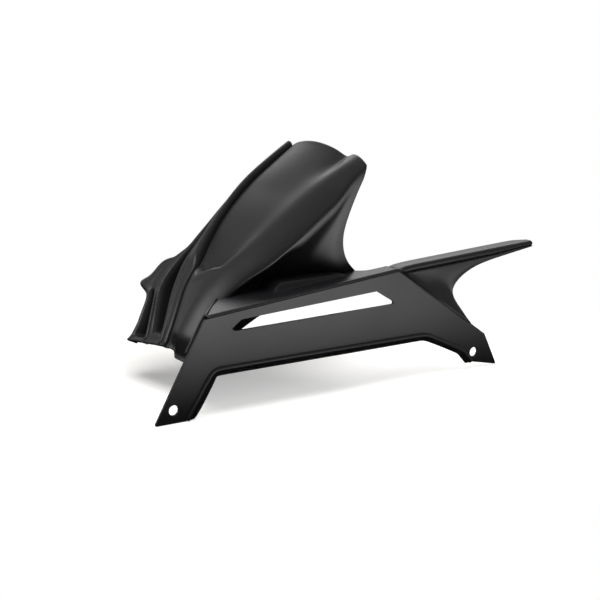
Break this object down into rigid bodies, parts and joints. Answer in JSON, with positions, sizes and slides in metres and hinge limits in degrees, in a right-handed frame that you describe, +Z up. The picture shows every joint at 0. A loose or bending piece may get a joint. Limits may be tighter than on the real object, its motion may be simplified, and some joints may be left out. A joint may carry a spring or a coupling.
{
  "type": "rear hugger mudguard",
  "caption": "Thin moulded rear hugger mudguard: curved shell over the tyre, drilled chain-side plate with a long slot and a beak.",
  "frame": {"origin": "in the middle of the front mounting hole, half-way through the plate", "axes": "+X rearward along the side plate, +Y from the plate toward the far side of the wheel, +Z up with the two feet level"},
  "size_m": [0.4468, 0.2021, 0.2347],
  "materials": {
    "moulding": "satin black ABS with a fine grain"
  },
  "bodies": {
    "root": {"hugger": "moulding"}
  },
  "joints": []
}
